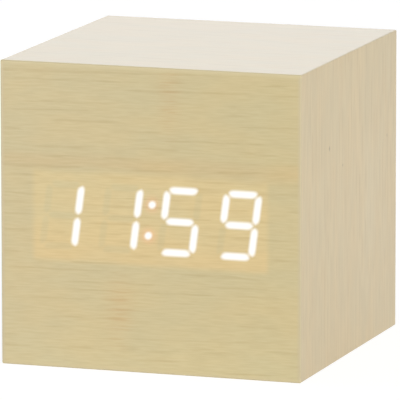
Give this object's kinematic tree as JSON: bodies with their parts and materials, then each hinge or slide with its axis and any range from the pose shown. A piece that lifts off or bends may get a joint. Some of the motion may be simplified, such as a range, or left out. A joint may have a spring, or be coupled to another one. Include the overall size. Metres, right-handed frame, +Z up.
{
  "type": "digital alarm clock",
  "caption": "Cube-shaped digital alarm clock: wood-grain case, lit segment figures shining through the front film, and a rear cover with push buttons, power inlet and battery door.",
  "frame": {"origin": "middle of the underside, on the table", "axes": "+Z up, the lit face looks towards -Y, +X to the right seen from the front"},
  "size_m": [0.064, 0.064, 0.0626],
  "materials": {
    "wood_film": "satin wood-grain film",
    "wood_board": "satin wood-grain film on fibre board",
    "raw_wood": "bare fibre board",
    "cover_black": "fine textured moulding",
    "button_black": "smooth moulding",
    "display_black": "smooth moulding",
    "lit_lens": "clear resin, lit white",
    "unlit_lens": "clear resin, dark",
    "led_chip": "phosphor coated",
    "circuit_board": "green solder mask",
    "tin": "tinned",
    "steel": "zinc plated",
    "brass_pin": "nickelled brass",
    "chip_black": "moulded resin",
    "buzzer_black": "smooth moulding",
    "can_sleeve": "shrink sleeve",
    "socket_white": "smooth moulding",
    "ribbon_grey": "flat insulated wires",
    "wire_red": "insulated wire",
    "wire_black": "insulated wire",
    "cell_jacket": "plain jacket, bare ends"
  },
  "bodies": {
    "case": {"front_film": "wood_film", "front_panel": "raw_wood", "bottom_panel": "wood_board", "top_panel": "wood_board", "left_panel": "wood_board", "right_panel": "wood_board", "corner_blocks": "raw_wood", "display_housing": "display_black", "lit_segments": "lit_lens", "unlit_segments": "unlit_lens", "colon_dots": "lit_lens", "display_base": "circuit_board", "segment_leds": "led_chip", "display_pins": "tin", "display_board": "circuit_board", "display_spacers": "socket_white", "display_board_screws": "steel", "controller_chip": "chip_black", "quartz_crystal": "tin", "buzzer": "buzzer_black", "capacitor": "can_sleeve", "display_socket": "socket_white", "key_socket": "socket_white", "ribbon_cable": "ribbon_grey", "rear_cover": "cover_black", "rear_cover_screws": "steel", "key_board": "circuit_board", "key_board_screws": "steel", "dc_jack": "chip_black", "dc_jack_pin": "brass_pin", "battery_springs": "steel", "left_contacts": "tin", "right_contacts": "tin", "positive_lead": "wire_red", "negative_lead": "wire_black", "set_switch": "chip_black", "up_switch": "chip_black", "down_switch": "chip_black", "battery_1": "cell_jacket", "battery_2": "cell_jacket", "battery_3": "cell_jacket"},
    "door": {"battery_door": "cover_black"},
    "set_key": {"set_button": "button_black", "set_plunger": "socket_white"},
    "up_key": {"up_button": "button_black", "up_plunger": "socket_white"},
    "down_key": {"down_button": "button_black", "down_plunger": "socket_white"}
  },
  "joints": [
    {"name": "door_hinge", "type": "hinge", "parent": "case", "child": "door", "pos_m": [0, 0.0304, 0.0074], "axis": [-1, 0, 0], "range_deg": [0, 90]},
    {"name": "set_press", "type": "slide", "parent": "case", "child": "set_key", "axis": [0, -1, 0], "range_m": [0, 0.0005], "stiffness_N_per_m": 3200},
    {"name": "up_press", "type": "slide", "parent": "case", "child": "up_key", "axis": [0, -1, 0], "range_m": [0, 0.0005], "stiffness_N_per_m": 3200},
    {"name": "down_press", "type": "slide", "parent": "case", "child": "down_key", "axis": [0, -1, 0], "range_m": [0, 0.0005], "stiffness_N_per_m": 3200}
  ]
}
